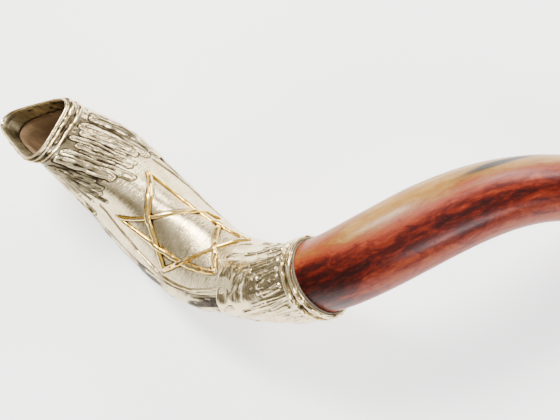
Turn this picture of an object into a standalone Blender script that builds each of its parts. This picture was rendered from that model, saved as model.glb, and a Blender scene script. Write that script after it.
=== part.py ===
"""Kudu-horn shofar with a worked silver sleeve on its bell end.

The horn is a left-handed helix that tightens towards the mouthpiece, swept by a section that runs
from a rounded triangle at the mouth to an oval and then to a round tip. Every piece of the sleeve
lies on an offset of that same surface, so one function, surface(), places them all. A point on it
has a phase (radians along the coil, 0 at the mouth), an angle round the section and a height in
millimetres above the bare horn.
"""

import math

import bmesh
import bpy
import numpy as np
from mathutils import Vector

MM = 0.001
GAP = 0.3
WIRE_GAP = 0.55

# The coil: millimetres and radians
PITCH = 474.2
PITCH_LOSS = 0.0229
COIL_RADIUS = 71.9
COIL_DECAY = 0.1463
COIL_START = 0.305
TIP_PHASE = 15.0

# Mean radius of the bare horn
BELL_RADIUS = 29.2
TIP_RADIUS = 9.0
TAPER_POWER = 1.97
MOUTH_DRAW = 3.6
MOUTH_DRAW_PHASE = 0.41
TIP_FLARE = 1.2
TIP_FLARE_PHASE = 0.22

# Section: three flat sides (direction, distance as a share of the mean radius), then an oval
SIDES = ((1.898, 0.865), (3.803, 0.849), (6.206, 0.745))
SIDE_POWER = 2.5
SIDES_END = 3.5
OVAL = 0.08
OVAL_ANGLE = 4.658
OVAL_END = 5.5

# Oblique cut of the mouth
CUT_SLOPE = 0.3465
CUT_ANGLE = 1.28
CUT_FADE = 0.9

# Wall of the horn, and the cup of the mouthpiece (depth, radius)
WALL_MOUTH = 1.6
WALL_BODY = 2.6
WALL_BODY_PHASE = 0.8
WALL_TIP = 2.1
CUP = ((0.0, 7.2), (2.5, 6.9), (5.0, 5.9), (7.0, 4.2), (8.5, 3.0))
TIP_ARC = 51.0

# Sleeve: heights above the horn and thicknesses
BED_THICK = 1.1
SLEEVE_THICK = 0.5
SHEET_THICK = 0.5
BED_FOOT = GAP
SLEEVE_FOOT = BED_FOOT + BED_THICK + GAP
SLEEVE_TOP = SLEEVE_FOOT + SLEEVE_THICK
SHEET_FOOT = SLEEVE_TOP + GAP
SHEET_TOP = SHEET_FOOT + SHEET_THICK
LIP_THICK = 0.6
RIM_FOOT = GAP
RIM_THICK = 1.6
RIM_EASE = 0.6

# Sleeve: phases of its joints, and half of the gap left at a joint
MOUTH_COLLAR = (0.0, 0.11)
MOUTH_BARK = (0.11, 0.825)
PANEL = (0.825, 2.475)
END_BARK = (2.475, 3.19)
END_COLLAR = (3.19, 3.3)
SLEEVE_END = 3.3
LIP_END = 0.11
JOINT_PHASE = 0.002
BED_START = 0.012
JOINT_ANGLE = 0.008
PANEL_ANGLES = (75, 270)

# Wires: radius, and phase of each ring
RING_WIRE = 1.0
MOUTH_RINGS = (0.032, 0.092)
END_RINGS = (3.206, 3.284)
BORDER_WIDE = 1.6
BORDER_HIGH = 1.3
LOWER_BORDER = ((0.85, 222), (1.06, 243), (1.34, 256), (1.7, 266), (2.05, 267), (2.45, 262))
UPPER_BORDER = ((0.85, 83), (1.2, 79), (1.6, 84), (2.0, 91), (2.45, 97))

# Star: corners of its two triangles, and the section of its flat wire
STAR_A = ((0.92, 115), (1.70, 255), (2.38, 166))
STAR_B = ((1.04, 219), (1.80, 123), (2.34, 240))
STAR_WIDE = 4.8
STAR_HIGH = 1.4
STAR_LIFT = STAR_HIGH + GAP
STAR_REACH = 9.0
STAR_STEPS = 28

SIDES_ROUND = 24
STEP = 0.165
TIP_RINGS = 46

# The frame it is handed in: it lies as it rests, bell at -X, mouthpiece at +X, +Z up
UP = (-0.08243, 0.22079, 0.97183)
REST_CENTRE = (452.974, -2.706, -57.485)

COLOURS = {
    "horn": ((0.22, 0.06, 0.03), 0.0, 0.25),
    "silver": ((0.72, 0.68, 0.60), 1.0, 0.30),
    "gold": ((0.80, 0.58, 0.26), 1.0, 0.28),
    "cement": ((0.55, 0.50, 0.42), 0.0, 0.80),
}


def ease(t):
    t = np.clip(t, 0.0, 1.0)
    return t * t * (3 - 2 * t)


def coil(phase):
    """Centre of the section at a phase."""
    turn = COIL_START + phase
    along = PITCH / (2 * math.pi) * (phase - PITCH_LOSS * phase**2 / 2)
    radius = COIL_RADIUS * np.exp(-COIL_DECAY * phase)
    return np.stack([along, radius * np.cos(turn), -radius * np.sin(turn)], -1)


def frame(phase):
    """Centre, tangent, outward normal and side vector of the section."""
    ahead = coil(phase + 1e-3) - coil(phase - 1e-3)
    tangent = ahead / np.linalg.norm(ahead, axis=-1, keepdims=True)
    turn = COIL_START + phase
    out = np.stack([0 * turn, np.cos(turn), -np.sin(turn)], -1)
    out = out - (out * tangent).sum(-1, keepdims=True) * tangent
    out = out / np.linalg.norm(out, axis=-1, keepdims=True)
    return coil(phase), tangent, out, np.cross(tangent, out)


def mean_radius(phase):
    share = np.clip(phase / TIP_PHASE, 0, 1)
    radius = TIP_RADIUS + (BELL_RADIUS - TIP_RADIUS) * (1 - share**TAPER_POWER)
    radius = radius - MOUTH_DRAW * np.exp(-((phase / MOUTH_DRAW_PHASE) ** 2))
    return radius + TIP_FLARE * np.exp(-(((TIP_PHASE - phase) / TIP_FLARE_PHASE) ** 2))


def bore_radius(phase):
    share = np.clip(phase / TIP_PHASE, 0, 1)
    wall = WALL_MOUTH + WALL_BODY * (1 - np.exp(-phase / WALL_BODY_PHASE))
    flare = TIP_FLARE * np.exp(-(((TIP_PHASE - phase) / TIP_FLARE_PHASE) ** 2))
    return mean_radius(phase) - flare - wall - WALL_TIP * share**3


def outline(phase, angle):
    """Radius of the section as a share of its mean radius."""
    blend = ease(phase / SIDES_END)
    fade = 1 - np.clip((phase - OVAL_END) / (TIP_PHASE - OVAL_END), 0, 1)
    total = 0.0
    for direction, distance in SIDES:
        total = total + (np.maximum(np.cos(angle - direction), 1e-4) / distance) ** SIDE_POWER
    triangle = total ** (-1 / SIDE_POWER)
    oval = 1 + OVAL * fade * np.cos(2 * (angle - OVAL_ANGLE))
    return triangle * (1 - blend) + oval * blend


def surface(phase, angle, height=0.0, radius=None):
    """A point at a height square to the section's outline, in millimetres."""
    phase, angle = np.broadcast_arrays(np.asarray(phase, float), np.asarray(angle, float))
    size = mean_radius(phase) if radius is None else radius
    r = size * outline(phase, angle)
    dr = size * (outline(phase, angle + 1e-3) - outline(phase, angle - 1e-3)) / 2e-3
    norm = np.sqrt(r * r + dr * dr)
    cos, sin = np.cos(angle), np.sin(angle)
    a = r * cos + height * (r * cos + dr * sin) / norm
    b = r * sin + height * (r * sin - dr * cos) / norm
    centre, tangent, out, side = frame(phase)
    slope = CUT_SLOPE * np.exp(-((phase / CUT_FADE) ** 2))
    slide = slope * (a * math.cos(CUT_ANGLE) + b * math.sin(CUT_ANGLE))
    return centre + a[..., None] * out + b[..., None] * side + slide[..., None] * tangent


def mouth_axis():
    """Outward direction of the mouth's flat plane."""
    _, tangent, out, side = frame(np.array(0.0))
    slope = math.cos(CUT_ANGLE) * out + math.sin(CUT_ANGLE) * side
    axis = CUT_SLOPE * slope - tangent
    return axis / np.linalg.norm(axis)


def to_row(points):
    """From the coil's frame in millimetres to the handed-in frame in metres."""
    up = np.array(UP) / np.linalg.norm(UP)
    along = np.array([1.0, 0.0, 0.0]) - up[0] * up
    along = along / np.linalg.norm(along)
    axes = np.stack([along, np.cross(up, along), up])
    return ((points - np.array(REST_CENTRE)) @ axes.T) * MM


def phases(start, end, trim_start=0.0, trim_end=0.0):
    """The shared grid lines between two phases, its ends moved in by the trims."""
    extra = [0.055, 0.11, 3.19, 3.245]
    lines = sorted([STEP * i for i in range(21)] + extra)
    inner = [p for p in lines if start + 1e-6 < p < end - 1e-6]
    return np.array([start + trim_start] + inner + [end - trim_end])


def ring_angles():
    return np.arange(SIDES_ROUND) * 2 * math.pi / SIDES_ROUND


def material(kind, name):
    colour, metallic, roughness = COLOURS[kind]
    made = bpy.data.materials.new(name)
    made.use_nodes = True
    shader = made.node_tree.nodes["Principled BSDF"]
    shader.inputs["Base Color"].default_value = (*colour, 1.0)
    shader.inputs["Metallic"].default_value = metallic
    shader.inputs["Roughness"].default_value = roughness
    return made


def add(name, data, kind, parts):
    item = bpy.data.objects.new(name, data)
    data.materials.append(material(kind, f"{name}_{kind}"))
    parts.objects.link(item)
    return item


def grid_mesh(name, points, closed_rows, closed_round, caps=False):
    """A mesh through rows of points, with its rows or its rounds joined up on request."""
    rows, count = points.shape[:2]
    shape = bmesh.new()
    verts = [[shape.verts.new(Vector(p)) for p in row] for row in to_row(points)]
    for i in range(rows if closed_rows else rows - 1):
        for j in range(count if closed_round else count - 1):
            here, ahead = verts[i], verts[(i + 1) % rows]
            shape.faces.new((here[j], here[(j + 1) % count], ahead[(j + 1) % count], ahead[j]))
    if caps:
        shape.faces.new(verts[0])
        shape.faces.new(verts[-1][::-1])
    bmesh.ops.recalc_face_normals(shape, faces=shape.faces)
    mesh = bpy.data.meshes.new(name)
    shape.to_mesh(mesh)
    shape.free()
    for face in mesh.polygons:
        face.use_smooth = True
    return mesh


def build_horn(parts):
    """Horn from mouth to mouthpiece, with its bore and the cup carved in its tip."""
    angles = ring_angles()[None]
    outer = np.concatenate(
        [phases(0, SLEEVE_END), np.linspace(SLEEVE_END, TIP_PHASE, TIP_RINGS)[1:]]
    )
    skin = surface(outer[:, None], angles)
    depth = np.array([d for d, _ in CUP])
    cup_phase = TIP_PHASE - depth / TIP_ARC
    cup_radius = np.array([r for _, r in CUP])
    bore_phase = outer[outer < cup_phase[-1] - 0.05][::-1]
    inner = np.concatenate([cup_phase, bore_phase])
    radius = np.concatenate([cup_radius, bore_radius(bore_phase)])
    bore = surface(inner[:, None], angles, radius=radius[:, None])
    mesh = grid_mesh("horn", np.concatenate([skin, bore]), True, True)
    return add("horn", mesh, "horn", parts)


def sheet(name, along, angles, foot, thick, kind, parts, radius=None, inward=False):
    """Sheet of even thickness standing on the surface at a height."""
    closed = angles is None
    round_angles = ring_angles() if closed else angles
    size = None if radius is None else radius[:, None]
    points = surface(along[:, None], round_angles[None], foot, size)
    item = add(name, grid_mesh(name, points, False, closed), kind, parts)
    middle = item.data.polygons[len(item.data.polygons) // 2]
    centre = Vector(to_row(coil(np.array(float(along.mean())))))
    if (middle.normal.dot(middle.center - centre) > 0) == inward:
        item.data.flip_normals()
    solid = item.modifiers.new("thickness", "SOLIDIFY")
    solid.thickness = thick * MM
    solid.offset = 1.0
    solid.use_quality_normals = True
    return item


def panel_angles(first, last):
    count = round((last - first) / 360 * SIDES_ROUND)
    angles = np.radians(np.linspace(first, last, count + 1))
    angles[0] += JOINT_ANGLE
    angles[-1] -= JOINT_ANGLE
    return angles


def build_sleeve(parts):
    """Cement, silver sleeve and the worked sheets on it."""
    bed = phases(0, SLEEVE_END, BED_START, BED_START)
    shell = phases(0, SLEEVE_END, JOINT_PHASE, 0)
    sheet("adhesive_bed", bed, None, BED_FOOT, BED_THICK, "cement", parts)
    sheet("sleeve_shell", shell, None, SLEEVE_FOOT, SLEEVE_THICK, "silver", parts)
    for name, span in (
        ("mouth_collar", MOUTH_COLLAR),
        ("mouth_bark_jacket", MOUTH_BARK),
        ("horn_end_bark_jacket", END_BARK),
        ("horn_end_collar", END_COLLAR),
    ):
        along = phases(*span, JOINT_PHASE, JOINT_PHASE)
        sheet(name, along, None, SHEET_FOOT, SHEET_THICK, "silver", parts)
    first, last = PANEL_ANGLES
    along = phases(*PANEL, JOINT_PHASE, JOINT_PHASE)
    front, back = panel_angles(first, last), panel_angles(last, first + 360)
    sheet("star_panel", along, front, SHEET_FOOT, SHEET_THICK, "silver", parts)
    sheet("back_bark_panel", along, back, SHEET_FOOT, SHEET_THICK, "silver", parts)
    along = phases(0, LIP_END, JOINT_PHASE)
    bore = bore_radius(along)
    sheet("mouth_lip", along, None, -GAP, LIP_THICK, "silver", parts, bore, True)


def build_rim(parts):
    """Band over the horn's cut end, flat in front."""
    angles = ring_angles()
    bore = bore_radius(np.array(0.0))
    outer = surface(0.0, angles, SLEEVE_TOP)
    outer_face = surface(0.0, angles, SLEEVE_TOP - RIM_EASE)
    inner = surface(0.0, angles, -GAP - LIP_THICK, bore)
    inner_face = surface(0.0, angles, -GAP - LIP_THICK + RIM_EASE, bore)
    axis = mouth_axis()
    top = RIM_FOOT + RIM_THICK
    rows = (
        inner + axis * RIM_FOOT,
        outer + axis * RIM_FOOT,
        outer + axis * (top - RIM_EASE),
        outer_face + axis * top,
        inner_face + axis * top,
        inner + axis * (top - RIM_EASE),
    )
    mesh = grid_mesh("mouth_rim", np.stack(rows), True, True)
    return add("mouth_rim", mesh, "silver", parts)


def ring_wire(name, phase, parts):
    """Round wire lying round the sleeve on a collar."""
    points = to_row(surface(phase, ring_angles(), SHEET_TOP + GAP + RING_WIRE))
    curve = bpy.data.curves.new(name, "CURVE")
    curve.dimensions = "3D"
    curve.bevel_depth = RING_WIRE * MM
    curve.bevel_resolution = 2
    spline = curve.splines.new("POLY")
    spline.points.add(len(points) - 1)
    for knot, point in zip(spline.points, points):
        knot.co = (*point, 1.0)
    spline.use_cyclic_u = True
    spline.use_smooth = True
    return add(name, curve, "silver", parts)


def flat_wire(name, path, wide, high, lift, closed, kind, parts):
    """Half-round wire along a path of phases and angles laid on the worked sheets."""
    phase, angle = path[:, 0], path[:, 1]
    foot = SHEET_TOP + WIRE_GAP + lift
    base = surface(phase, angle, foot)
    normal = surface(phase, angle, foot + 1.0) - base
    if closed:
        ahead = np.roll(base, -1, 0) - np.roll(base, 1, 0)
    else:
        ahead = np.gradient(base, axis=0)
    ahead = ahead / np.linalg.norm(ahead, axis=1, keepdims=True)
    side = np.cross(normal, ahead)
    side = side / np.linalg.norm(side, axis=1, keepdims=True)
    rows = []
    for i in range(len(path)):
        ring = []
        for across, up in ((-0.5, 0), (-0.45, 0.45), (-0.22, 0.9), (0.22, 0.9), (0.45, 0.45), (0.5, 0)):
            ring.append(base[i] + side[i] * across * wide + normal[i] * up * high / 0.9)
        rows.append(ring)
    mesh = grid_mesh(name, np.array(rows), closed, True, caps=not closed)
    return add(name, mesh, kind, parts)


def chart(points):
    """Phases and degrees to a flat chart in millimetres, for crossings on the sleeve."""
    points = np.array(points, float)
    return np.stack([points[..., 0] * 110.0, np.radians(points[..., 1]) * 33.0], -1)


def crossings(corners, others):
    """Where the sides of one triangle cross the sides of the other, in order along the first."""
    found = []
    mine, theirs = chart(corners), chart(others)
    for i in range(3):
        p, d = mine[i], mine[(i + 1) % 3] - mine[i]
        hits = []
        for j in range(3):
            q, e = theirs[j], theirs[(j + 1) % 3] - theirs[j]
            cross = d[0] * e[1] - d[1] * e[0]
            s = ((q - p)[0] * e[1] - (q - p)[1] * e[0]) / cross
            t = ((q - p)[0] * d[1] - (q - p)[1] * d[0]) / cross
            if 0 < s < 1 and 0 < t < 1:
                hits.append(s)
        found += [(i, s) for s in sorted(hits)]
    return found


def star_triangle(name, corners, others, first_over, parts):
    """One triangle of the star, passing over and under the other in turn."""
    flat = chart(corners)
    hits = crossings(corners, others)
    path, lift = [], []
    for i in range(3):
        start, end = np.array(corners[i], float), np.array(corners[(i + 1) % 3], float)
        length = np.linalg.norm(flat[(i + 1) % 3] - flat[i])
        for k in range(STAR_STEPS):
            share = 0.02 + 0.96 * k / (STAR_STEPS - 1)
            point = start + (end - start) * share
            path.append((point[0], math.radians(point[1])))
            rise = 0.0
            for n, (side, s) in enumerate(hits):
                if side == i and (n % 2 == 0) == first_over:
                    rise = max(rise, 1 - max(0.0, abs(share - s) * length / STAR_REACH - 0.8))
            lift.append(STAR_LIFT * float(ease(rise)))
    return flat_wire(
        name, np.array(path), STAR_WIDE, STAR_HIGH, np.array(lift), True, "gold", parts
    )


def border(name, knots, parts):
    knots = np.array(knots, float)
    phase = np.linspace(knots[0, 0], knots[-1, 0], 22)
    angle = np.radians(np.interp(phase, knots[:, 0], knots[:, 1]))
    path = np.stack([phase, angle], -1)
    return flat_wire(name, path, BORDER_WIDE, BORDER_HIGH, 0.0, False, "silver", parts)


def main():
    for item in list(bpy.data.objects):
        bpy.data.objects.remove(item)
    parts = bpy.data.collections.new("shofar")
    bpy.context.scene.collection.children.link(parts)
    build_horn(parts)
    build_sleeve(parts)
    build_rim(parts)
    ring_wire("mouth_collar_wire_front", MOUTH_RINGS[0], parts)
    ring_wire("mouth_collar_wire_back", MOUTH_RINGS[1], parts)
    ring_wire("horn_end_wire_inner", END_RINGS[0], parts)
    ring_wire("horn_end_wire_outer", END_RINGS[1], parts)
    border("panel_border_lower", LOWER_BORDER, parts)
    border("panel_border_upper", UPPER_BORDER, parts)
    star_triangle("star_triangle_a", STAR_A, STAR_B, True, parts)
    star_triangle("star_triangle_b", STAR_B, STAR_A, False, parts)


main()
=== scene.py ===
"""Looks of a kudu-horn shofar with a worked silver sleeve.

Every piece is first laid out flat on a chart of the horn's skin, with a phase along the coil, an
angle round the section and a height above the bare horn in millimetres. One Geometry Nodes group
then wraps the chart on to the coil.
"""

import math

import bmesh
import bpy
import numpy as np
from mathutils import Matrix, Vector


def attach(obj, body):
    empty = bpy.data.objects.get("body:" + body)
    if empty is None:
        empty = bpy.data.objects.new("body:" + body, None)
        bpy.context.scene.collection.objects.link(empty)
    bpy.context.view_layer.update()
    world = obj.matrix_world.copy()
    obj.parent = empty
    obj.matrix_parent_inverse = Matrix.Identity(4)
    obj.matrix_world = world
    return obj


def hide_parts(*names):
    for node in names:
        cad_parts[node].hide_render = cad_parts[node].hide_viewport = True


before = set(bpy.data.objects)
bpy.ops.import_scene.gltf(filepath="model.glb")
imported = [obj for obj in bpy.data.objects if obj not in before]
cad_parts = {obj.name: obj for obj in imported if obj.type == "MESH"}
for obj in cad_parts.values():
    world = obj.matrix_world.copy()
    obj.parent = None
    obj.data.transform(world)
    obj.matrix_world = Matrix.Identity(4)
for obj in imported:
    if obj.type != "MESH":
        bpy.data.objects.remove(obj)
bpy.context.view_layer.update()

bl_info = {
    "name": "Shofar",
    "version": (1, 0, 0),
    "blender": (4, 5, 0),
    "location": "View3D > Sidebar > Shofar",
    "description": "Builds a kudu-horn shofar with a worked silver sleeve",
    "category": "Object",
}

# The coil, in millimetres and radians
PITCH = 474.2
PITCH_LOSS = 0.0229
COIL_RADIUS = 71.9
COIL_DECAY = 0.1463
COIL_START = 0.305
TIP_PHASE = 15.0

# Mean radius of the bare horn
BELL_RADIUS = 29.2
TIP_RADIUS = 9.0
TAPER_POWER = 1.97
MOUTH_DRAW = 3.6
MOUTH_DRAW_PHASE = 0.41
TIP_FLARE = 1.2
TIP_FLARE_PHASE = 0.22

# Section: three flat sides (direction, distance as a share of the mean radius), then an oval
SIDES = ((1.898, 0.865), (3.803, 0.849), (6.206, 0.745))
SIDE_POWER = 2.5
SIDES_END = 3.5
OVAL = 0.08
OVAL_ANGLE = 4.658
OVAL_END = 5.5

# Oblique cut of the mouth
CUT_SLOPE = 0.3465
CUT_ANGLE = 1.28
CUT_FADE = 0.9

# Wall of the horn, and the cup of the mouthpiece (depth, radius)
WALL_MOUTH = 1.6
WALL_BODY = 2.6
WALL_BODY_PHASE = 0.8
WALL_TIP = 2.1
CUP = ((0.0, 7.2), (0.5, 7.15), (1.5, 7.0), (2.5, 6.8), (4.0, 6.3), (5.5, 5.4), (7.0, 4.2), (8.5, 3.0))
TIP_ARC = 51.0
MOUTH_ARC = 105.0

# Where the coil stands in the frame
UP = (-0.08243, 0.22079, 0.97183)
REST_CENTRE = (452.974, -2.706, -57.485)

# Heights above the bare horn
BED_FOOT, BED_TOP = 0.3, 1.4
SHELL_FOOT, SHELL_TOP = 1.7, 2.2
SHEET_TOP = 3.0
LOWEST = 1.0

# The mouth's inside edge: its height at the front, and how deep the bore flares out to meet it
FLARE_TOP = 1.15
FLARE_MM = 15.0
LIP_OVER = 0.35

# Joints of the sleeve along the coil
COLLAR_END = 0.11
PANEL_START = 0.825
PANEL_END = 2.475
END_COLLAR_START = 3.19
SLEEVE_END = 3.3
MOUTH_RINGS = (0.032, 0.092)
END_RINGS = (3.206, 3.284)
PANEL_ANGLES = (math.radians(75), math.radians(270))

# Flat charts count one radian round the sleeve as this many millimetres: on the panels, on the mouth's
# sheet and both collars, and on the horn end's sheet
ROUND = 33.0
MOUTH_ROUND = 32.0
END_ROUND = 31.0

# Length round the sleeve that sets how finely a sheet's mesh is divided
SHEET_ROUND_MM = 200

# How far the two panels are tucked under the tooled sheets at either end, in millimetres
TUCK_MOUTH = 14.0
TUCK_END = 12.0

# Grain and hammering are laid round the horn as if its radius were this many millimetres
GRAIN_RADIUS = 30.0

# Phases from which the horn is finely modelled, just inside the sleeve's end, and where its swells stop
HORN_SHOWN = 3.2
SWELLS_END = 14.8

# Star and borders: phases along the coil and degrees round the section
STAR_A = ((0.92, 115), (1.70, 255), (2.38, 166))
STAR_B = ((1.04, 219), (1.80, 123), (2.34, 240))
LOWER_BORDER = ((0.85, 222), (1.06, 243), (1.34, 256), (1.7, 266), (2.05, 267), (2.45, 262))
UPPER_BORDER = ((0.85, 83), (1.2, 79), (1.6, 84), (2.0, 91), (2.45, 97))
STAR_WIDE = 4.8
STAR_HIGH = 1.7

# Where the horn's colours lie round it: degrees from its pale band, and darkness from 0 to 1
HORN_BAND = (
    (0, 0.05), (10, 0.12), (22, 0.34), (40, 0.6), (58, 0.78), (72, 0.7), (86, 0.56), (100, 0.44),
    (120, 0.38), (160, 0.42), (200, 0.66), (250, 0.58), (300, 0.36), (325, 0.16), (345, 0.06), (360, 0.05),
)
BAND_START = (3.68, 279)
BAND_TWIST = 0.8


# ---------------------------------------------------------------- chart helpers


def detail(fine):
    """A mesh step in millimetres."""
    return fine * 1


def ease(t):
    t = np.clip(t, 0.0, 1.0)
    return t * t * (3 - 2 * t)


def arc_table():
    phase = np.linspace(-0.3, TIP_PHASE + 0.2, 3000)
    turn = COIL_START + phase
    radius = COIL_RADIUS * np.exp(-COIL_DECAY * phase)
    along = PITCH / (2 * math.pi) * (phase - PITCH_LOSS * phase**2 / 2)
    points = np.stack([along, radius * np.cos(turn), -radius * np.sin(turn)], -1)
    steps = np.linalg.norm(np.diff(points, axis=0), axis=1)
    length = np.concatenate([[0], np.cumsum(steps)])
    return phase, length - np.interp(0.0, phase, length)


ARC_PHASE, ARC_MM = arc_table()


def arc(phase):
    """Length along the coil from the mouth, in millimetres."""
    return np.interp(phase, ARC_PHASE, ARC_MM)


def phase_at(length):
    return np.interp(length, ARC_MM, ARC_PHASE)


def mean_radius(phase):
    share = np.clip(phase / TIP_PHASE, 0, 1)
    radius = TIP_RADIUS + (BELL_RADIUS - TIP_RADIUS) * (1 - share**TAPER_POWER)
    radius = radius - MOUTH_DRAW * np.exp(-((phase / MOUTH_DRAW_PHASE) ** 2))
    return radius + TIP_FLARE * np.exp(-(((TIP_PHASE - phase) / TIP_FLARE_PHASE) ** 2))


def flat(points):
    """Phases and degrees as places on a flat chart of the sleeve, in millimetres."""
    return np.array([[arc(p), math.radians(a) * ROUND] for p, a in points])


def lattice(i, j, seed):
    value = np.sin(i * 127.1 + j * 311.7 + seed * 74.7) * 43758.5453
    return value - np.floor(value)


def noise(x, y, seed=0, wrap=None):
    """Smooth noise from -1 to 1 on a flat chart, repeating every wrap cells of y on request."""
    x, y = np.broadcast_arrays(np.asarray(x, float), np.asarray(y, float))
    i, j = np.floor(x), np.floor(y)
    u, v = ease(x - i), ease(y - j)
    j2 = j + 1
    if wrap:
        j, j2 = j % wrap, j2 % wrap
    low = lattice(i, j, seed) * (1 - u) + lattice(i + 1, j, seed) * u
    high = lattice(i, j2, seed) * (1 - u) + lattice(i + 1, j2, seed) * u
    return 2 * (low * (1 - v) + high * v) - 1


def around_noise(length, across, along_mm, across_mm, seed, around_mm):
    """Noise on a chart that runs right round: cell sizes in millimetres along and across."""
    cells = round(around_mm / across_mm)
    return noise(length / along_mm, across * cells / around_mm, seed, cells)


def bump_at(value, middle, width):
    """One at the middle, falling away over the width on both sides."""
    return np.exp(-(((value - middle) / width) ** 2))


def path_distance(length, across, path, closed=False):
    """Distance on the chart from each point to a path, in millimetres."""
    best = np.full(np.broadcast(length, across).shape, 1e9)
    count = len(path)
    for k in range(count if closed else count - 1):
        p, q = path[k], path[(k + 1) % count]
        d = q - p
        t = ((length - p[0]) * d[0] + (across - p[1]) * d[1]) / (d @ d)
        t = np.clip(t, 0, 1)
        best = np.minimum(best, np.hypot(length - p[0] - t * d[0], across - p[1] - t * d[1]))
    return best


def row_axes():
    """Axes of the resting frame, as rows, in the coil's own frame."""
    up = np.array(UP) / np.linalg.norm(UP)
    along = np.array([1.0, 0.0, 0.0]) - up[0] * up
    along = along / np.linalg.norm(along)
    return np.stack([along, np.cross(up, along), up])


# ---------------------------------------------------------------- nodes


def node(tree, kind, inputs=None, stops=(), **settings):
    """Adds a node with its settings; inputs are values, sockets or fields, by name or place."""
    made = tree.nodes.new(kind)
    for name, value in settings.items():
        setattr(made, name, value)
    for place, value in (inputs or {}).items():
        source = getattr(value, "socket", value)
        if isinstance(source, bpy.types.NodeSocket):
            tree.links.new(source, made.inputs[place])
        else:
            made.inputs[place].default_value = source
    for _ in stops[2:]:
        made.color_ramp.elements.new(0.5)
    for place, (position, colour) in enumerate(stops):
        made.color_ramp.elements[place].position = position
        made.color_ramp.elements[place].color = colour
    return made


class Field:
    """A number in a node tree that takes ordinary arithmetic."""

    def __init__(self, tree, socket):
        self.tree = tree
        self.socket = socket

    def math(self, operation, *values):
        made = node(self.tree, "ShaderNodeMath", dict(enumerate(values)), operation=operation)
        return Field(self.tree, made.outputs[0])

    def __add__(self, other):
        return self.math("ADD", self, other)

    def __radd__(self, other):
        return self.math("ADD", other, self)

    def __sub__(self, other):
        return self.math("SUBTRACT", self, other)

    def __rsub__(self, other):
        return self.math("SUBTRACT", other, self)

    def __mul__(self, other):
        return self.math("MULTIPLY", self, other)

    def __rmul__(self, other):
        return self.math("MULTIPLY", other, self)

    def __truediv__(self, other):
        return self.math("DIVIDE", self, other)

    def __rtruediv__(self, other):
        return self.math("DIVIDE", other, self)

    def __neg__(self):
        return self.math("MULTIPLY", self, -1.0)

    def __pow__(self, other):
        return self.math("POWER", self, other)

    def sin(self):
        return self.math("SINE", self)

    def cos(self):
        return self.math("COSINE", self)

    def exp(self):
        return self.math("EXPONENT", self)

    def bell(self, width):
        """One at zero, falling away over the width on both sides."""
        share = self / width
        return (-(share * share)).exp()

    def limit(self, low=0.0, high=1.0):
        return self.math("MINIMUM", self.math("MAXIMUM", self, low), high)

    def ease(self):
        t = self.limit()
        return t * t * (3.0 - 2.0 * t)


# ---------------------------------------------------------------- the coil as a node group

GROUP_INPUTS = (
    ("Pitch", "NodeSocketFloat", PITCH),
    ("Coil Radius", "NodeSocketFloat", COIL_RADIUS),
    ("Coil Decay", "NodeSocketFloat", COIL_DECAY),
    ("Bell Radius", "NodeSocketFloat", BELL_RADIUS),
    ("Tip Radius", "NodeSocketFloat", TIP_RADIUS),
    ("Hammer Height", "NodeSocketFloat", 0.0),
    ("Hammer Size", "NodeSocketFloat", 8.0),
    ("Material", "NodeSocketMaterial", None),
)


def section_outline(angle, phase, fade):
    """Radius of the section as a share of its mean radius."""
    total = 0.0
    for direction, distance in SIDES:
        side = (angle - direction).cos().limit(1e-4)
        total = (side / distance) ** SIDE_POWER + total
    triangle = total ** (-1 / SIDE_POWER)
    oval = 1.0 + fade * ((angle - OVAL_ANGLE) * 2.0).cos() * OVAL
    blend = (phase / SIDES_END).ease()
    return triangle * (1.0 - blend) + oval * blend


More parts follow.
